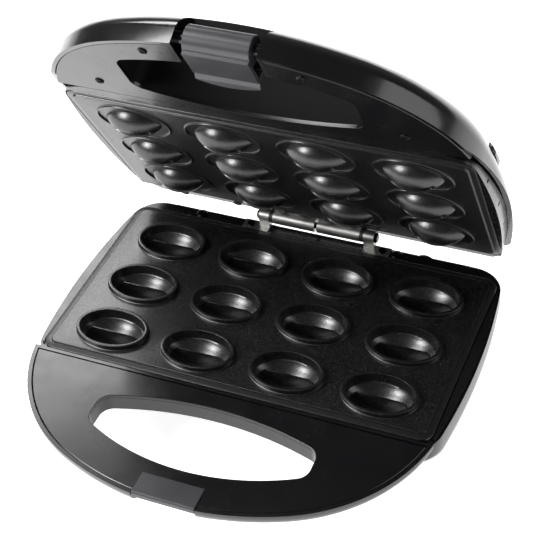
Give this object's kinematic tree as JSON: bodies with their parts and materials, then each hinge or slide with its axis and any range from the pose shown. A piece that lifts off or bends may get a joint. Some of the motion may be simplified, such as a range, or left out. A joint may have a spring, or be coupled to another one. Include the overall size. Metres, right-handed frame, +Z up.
{
  "type": "electric nut cookie maker",
  "caption": "Black electric iron for baking nut-shaped cookie shells: moulded lower plate, hinged lid with punches, D-shaped handles and a swinging latch, shown half open.",
  "frame": {"origin": "on the floor under the middle of the whole half-open object", "axes": "+Z up, -Y towards the handles, +X to the right seen from the handles"},
  "size_m": [0.2568, 0.2496, 0.2539],
  "materials": {
    "housing_black": "matte moulded heat-resistant plastic",
    "handle_satin": "satin plastic",
    "cover_gloss": "gloss black plastic",
    "inlay_satin": "satin-gloss black plastic",
    "nonstick_coating": "dark non-stick coating on cast aluminium",
    "satin_grey": "satin grey plastic",
    "bracket_steel": "plain rolled steel",
    "screw_steel": "zinc-plated steel",
    "screw_black": "blackened steel",
    "washer_black": "matte plastic",
    "foot_rubber": "matte rubber",
    "heater_steel": "dull heater sheath",
    "sheet_aluminium": "bright aluminium sheet",
    "terminal_white": "matte ceramic-look plastic",
    "fuse_sleeve": "woven sleeve",
    "lamp_red": "clear red",
    "lamp_green": "clear green",
    "lens_clear": "smoked clear lens"
  },
  "bodies": {
    "base": {"base_housing": "housing_black", "base_handle_panel": "handle_satin", "latch_keeper": "satin_grey", "lower_plate": "nonstick_coating", "lower_heater": "heater_steel", "lower_heater_clamps": "bracket_steel", "lower_reflector": "sheet_aluminium", "lower_plate_screws": "screw_steel", "hinge_bracket_lower": "bracket_steel", "hinge_bracket_lower_screws": "screw_black", "hinge_pin": "screw_black", "hinge_washers": "washer_black", "rear_rail_screws": "screw_black", "rubber_feet": "foot_rubber", "foot_screws": "screw_steel", "terminal_block": "terminal_white", "thermal_fuse": "fuse_sleeve", "cord_gland": "washer_black"},
    "lid": {"lid_housing": "housing_black", "lid_cover": "cover_gloss", "lid_handle_panel": "handle_satin", "lid_handle_screws": "screw_black", "lid_top_panel": "inlay_satin", "upper_plate": "nonstick_coating", "upper_heater": "heater_steel", "upper_heater_clamps": "bracket_steel", "upper_reflector": "sheet_aluminium", "upper_plate_screws": "screw_steel", "hinge_bracket_upper": "bracket_steel", "hinge_bracket_upper_screws": "screw_black", "thermostat": "sheet_aluminium", "lamp_holder": "housing_black", "lamp_red": "lamp_red", "lamp_green": "lamp_green", "indicator_lens": "lens_clear", "latch_pin": "screw_steel", "lid_stops": "foot_rubber"},
    "latch": {"latch": "satin_grey"}
  },
  "joints": [
    {"name": "lid_hinge", "type": "hinge", "parent": "base", "child": "lid", "pos_m": [0, 0.10405, 0.0458], "axis": [-1, 0, 0], "range_deg": [-60.33, 39.67]},
    {"name": "latch_hinge", "type": "hinge", "parent": "lid", "child": "latch", "pos_m": [0, -0.00014, 0.24586], "axis": [-1, 0, 0], "range_deg": [0, 100]}
  ]
}
